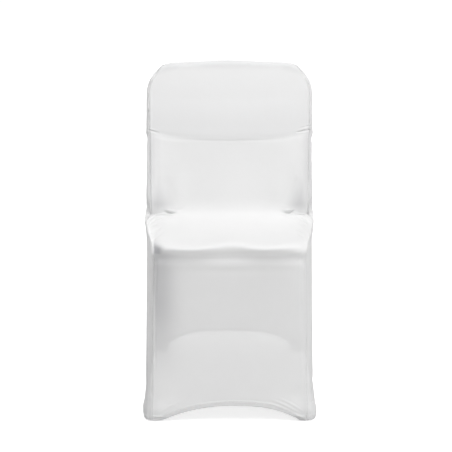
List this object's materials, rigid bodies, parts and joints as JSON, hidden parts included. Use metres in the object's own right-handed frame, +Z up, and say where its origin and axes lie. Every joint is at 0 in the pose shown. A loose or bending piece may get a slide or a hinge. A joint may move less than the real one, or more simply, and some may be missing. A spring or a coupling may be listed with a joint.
{
  "type": "folding chair cover",
  "caption": "Fitted cover for a folding chair in white stretch knit: taut over back, seat and legs, with arched hems and sewn foot pockets, hollow below",
  "frame": {"origin": "underside of the cover's top, midway along the top roll, where the chair's top rail carries the cover", "axes": "+Z up, -Y the front of the chair, +X the right side as seen from the front"},
  "size_m": [0.4228, 0.4741, 0.8251],
  "materials": {
    "stretch_knit": "matt white warp knit with a fine grain, a little sheer when stretched"
  },
  "bodies": {
    "root": {"front_panel": "stretch_knit", "back_panel": "stretch_knit", "side_panel_left": "stretch_knit", "side_panel_right": "stretch_knit", "foot_pocket_front_left": "stretch_knit", "foot_pocket_front_right": "stretch_knit", "foot_pocket_rear_left": "stretch_knit", "foot_pocket_rear_right": "stretch_knit"}
  },
  "joints": []
}
